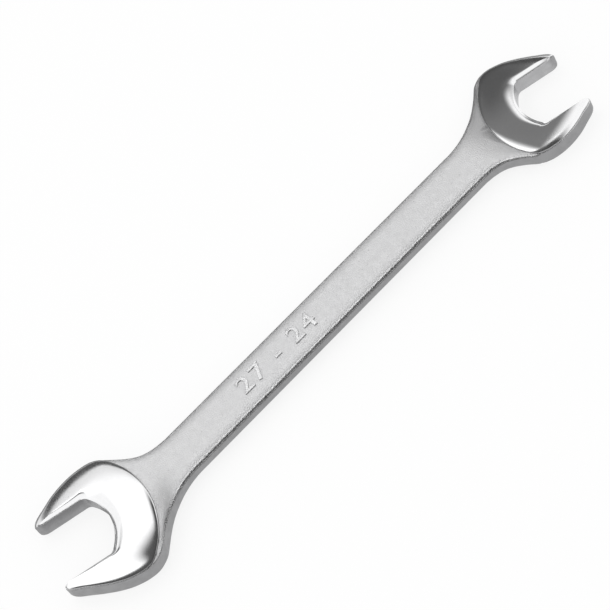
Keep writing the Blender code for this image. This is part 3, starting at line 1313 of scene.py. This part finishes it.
@dataclass
class Studio:
    """The bench, the light, the cards round it and the camera."""

    bench_size: float = 6.0
    bench_colour: float = 0.86
    bench_roughness: float = 0.9
    bench_lift: float = 0.80
    room_glow: float = 1.0
    lamp_size: float = 1.2
    lamp_height: float = 1.3
    lamp_middle: tuple[float, float] = (-0.25, 0.30)
    lamp_power: float = 3.0
    surround_radius: float = 0.9
    surround_height: float = 0.36
    surround_glow: float = 0.25
    surround_fade_share: float = 0.45
    surround_sides: int = 64
    surround_cuts: int = 1
    lens_mm: float = 153.4
    sensor_mm: float = 36.0
    clip_start: float = 0.01
    clip_end: float = 20.0
    distance: float = 0.9386
    azimuth_deg: float = -14.82
    elevation_deg: float = 51.0
    roll_deg: float = -33.5
    aim: tuple[float, float, float] = (0.0008, 0.0084, 0.0047)
    # Each card's name, middle, size, glow, softness, tilt and turn; a low one is seen only by
    # the head that it lies over
    cards: tuple[Card, ...] = (
        Card("white_strip", (-0.110, 0.080, 0.140), (0.88, 0.135), 1.38),
        Card("white_right", (0.290, 0.020, 0.080), (0.26, 0.16), 1.20, 0.15, 90.0, 90.0),
        Card("white_small_head", (0.195, -0.045, 0.051), (0.170, 0.110), 1.20, 0.12),
        Card("white_small_jaw", (0.1195, 0.0028, 0.0145), (0.026, 0.0165), 1.20, 0.30, 0.0, -15.0),
        Card("white_large_jaw", (-0.1154, 0.0107, 0.0145), (0.036, 0.0165), 1.20, 0.10, 0.0, -15.0),
        Card("white_small_floor", (0.116, 0.0030, 0.0010), (0.032, 0.014), 1.35, 0.15, 0.0, -15.0),
        Card("grey_small_head", (0.1110, 0.006, 0.018), (0.047, 0.050), 0.22, 0.13, 0.0, 16.0),
        Card("grey_large_floor", (-0.116, 0.0083, 0.0010), (0.036, 0.014), 0.50, 0.15, 0.0, -15.0),
        Card("dark_small_far", (0.1120, 0.023, 0.016), (0.052, 0.036), 0.115, 0.42, 0.0, 16.0),
        Card("dark_small_head", (0.148, 0.110, 0.052), (0.090, 0.150), 0.07, 0.20),
        Card("dark_large_head", (-0.0915, -0.021, 0.030), (0.038, 0.036), 0.08, 0.30),
        Card("dark_large_arc", (-0.0868, -0.0121, 0.014), (0.010, 0.040), 0.08, 0.37, 0.0, -26.0),
        Card("dark_far", (0.055, 0.290, 0.142), (0.43, 0.23), 0.10, 0.08),
        Card("dark_far_bench", (0.010, 0.120, 0.0006), (0.30, 0.20), 0.14, 0.05),
        Card("dark_near", (-0.020, -0.345, 0.300), (1.40, 0.80), 0.08, 0.05),
    )

    def place_camera(self) -> bpy.types.Object:
        """Puts the camera at the photograph's viewing angle.

        Returns:
            The camera.
        """
        azimuth = math.radians(self.azimuth_deg)
        elevation = math.radians(self.elevation_deg)
        back = Vector((
            math.sin(azimuth) * math.cos(elevation),
            -math.cos(azimuth) * math.cos(elevation),
            math.sin(elevation),
        ))
        data = bpy.data.cameras.new("camera")
        data.lens = self.lens_mm
        data.sensor_width = self.sensor_mm
        data.clip_start = self.clip_start
        data.clip_end = self.clip_end
        camera = bpy.data.objects.new("camera", data)
        bpy.context.scene.collection.objects.link(camera)
        camera.location = Vector(self.aim) + back * self.distance
        camera.rotation_mode = "QUATERNION"
        level = (-back).to_track_quat("-Z", "Y")
        camera.rotation_quaternion = level @ Quaternion((0, 0, 1), math.radians(self.roll_deg))
        bpy.context.scene.camera = camera
        return camera

    def lay_bench(self) -> bpy.types.Object:
        """Lays the pale bench top, which shows white but keeps the wrench's shadow.

        Returns:
            The bench top.
        """
        deselect_all()
        bpy.ops.mesh.primitive_plane_add(size=self.bench_size)
        bench = bpy.context.object
        bench.name = "bench"
        material = bpy.data.materials.new("bench_white")
        material.use_nodes = True
        wiring = Wiring(material.node_tree)
        shader = material.node_tree.nodes["Principled BSDF"]
        shader.inputs["Base Color"].default_value = (*[self.bench_colour] * 3, 1.0)
        shader.inputs["Roughness"].default_value = self.bench_roughness
        shader.inputs["Specular IOR Level"].default_value = 0.0
        light = wiring.add("Emission")
        light.inputs["Strength"].default_value = 1.0
        seen: Feed = 0.0
        path = wiring.add("LightPath")
        for ray in ("Is Camera Ray", "Is Glossy Ray", "Is Transmission Ray"):
            seen = wiring.calc("MAXIMUM", seen, path.outputs[ray])
        mix = wiring.add("MixShader")
        wiring.feed(mix.inputs[0], wiring.calc("MULTIPLY", seen, self.bench_lift))
        wiring.feed(mix.inputs[1], shader.outputs[0])
        wiring.feed(mix.inputs[2], light.outputs[0])
        wiring.feed(material.node_tree.nodes["Material Output"].inputs["Surface"], mix.outputs[0])
        bench.data.materials.append(material)
        return bench

    def light_room(self) -> None:
        """Fills the room with even light that the camera and the metal see as white."""
        world = bpy.data.worlds.new("room")
        world.use_nodes = True
        shader = world.node_tree.nodes["Background"]
        shader.inputs["Color"].default_value = (1.0, 1.0, 1.0, 1.0)
        shader.inputs["Strength"].default_value = self.room_glow
        bpy.context.scene.world = world

    def hang_lamp(self) -> bpy.types.Object:
        """Hangs the one large soft lamp over the far side of the bench.

        Returns:
            The lamp.
        """
        data = bpy.data.lights.new("soft_lamp", "AREA")
        data.size = self.lamp_size
        data.energy = self.lamp_power
        lamp = bpy.data.objects.new("soft_lamp", data)
        bpy.context.scene.collection.objects.link(lamp)
        lamp.location = (*self.lamp_middle, self.lamp_height)
        lamp.rotation_mode = "QUATERNION"
        lamp.rotation_quaternion = (-lamp.location).to_track_quat("-Z", "Y")
        lamp.visible_camera = False
        return lamp

    def stand_surround(self) -> bpy.types.Object:
        """Stands a low dark wall round the bench, whose reflection draws the forging's edges.

        Returns:
            The wall.
        """
        deselect_all()
        bpy.ops.mesh.primitive_cylinder_add(
            vertices=self.surround_sides, radius=self.surround_radius,
            depth=self.surround_height, end_fill_type="NOTHING",
            location=(0.0, 0.0, self.surround_height / 2))
        wall = bpy.context.object
        wall.name = "dark_surround"
        bpy.ops.object.mode_set(mode="EDIT")
        bpy.ops.mesh.select_all(action="SELECT")
        bpy.ops.mesh.subdivide(number_cuts=self.surround_cuts)
        bpy.ops.object.mode_set(mode="OBJECT")
        material = bpy.data.materials.new("dark_surround")
        material.use_nodes = True
        wiring = Wiring(material.node_tree)
        split = wiring.add("SeparateXYZ")
        wiring.feed(split.inputs[0], wiring.add("TexCoord").outputs["Object"])
        top = self.surround_height / 2
        start = top - self.surround_height * self.surround_fade_share
        cover = wiring.ramp(split.outputs[2], top, start)
        glowing_face(wiring, material, self.surround_glow, cover)
        wall.data.materials.append(material)
        show_to_metal_only(wall)
        return wall

    def build(self, effects: Effects) -> None:
        """Sets up the whole studio.

        Args:
            effects: The node groups that its materials use.
        """
        self.lay_bench()
        self.light_room()
        self.hang_lamp()
        self.stand_surround()
        for card in self.cards:
            card.build(effects)
        self.place_camera()
        bpy.context.scene.view_settings.view_transform = "Standard"


def main() -> None:
    """Builds the wrench and its studio, and reports each piece."""
    logging.basicConfig(level=logging.INFO)
    for old in list(bpy.data.objects):
        bpy.data.objects.remove(old)
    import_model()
    effects = Effects()
    satin = SATIN_CHROME.build(effects)
    polished = POLISHED_CHROME.build(effects)
    # The wall chrome's dark colour is painted shade
    wall = SHADE_PAINTED_CHROME.build(effects)
    forging = Forging().build(satin, polished, wall)
    forging.name = forging.data.name = "forging"
    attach(forging, "root")
    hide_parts(FORGING_NODE)
    numbers = SizeNumbers().build(satin)
    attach(numbers, "root")
    for piece in (forging, numbers):
        LOG.info("%s: %d faces", piece.name, len(piece.data.polygons))
    Studio().build(effects)


if __name__ == "__main__":
    main()
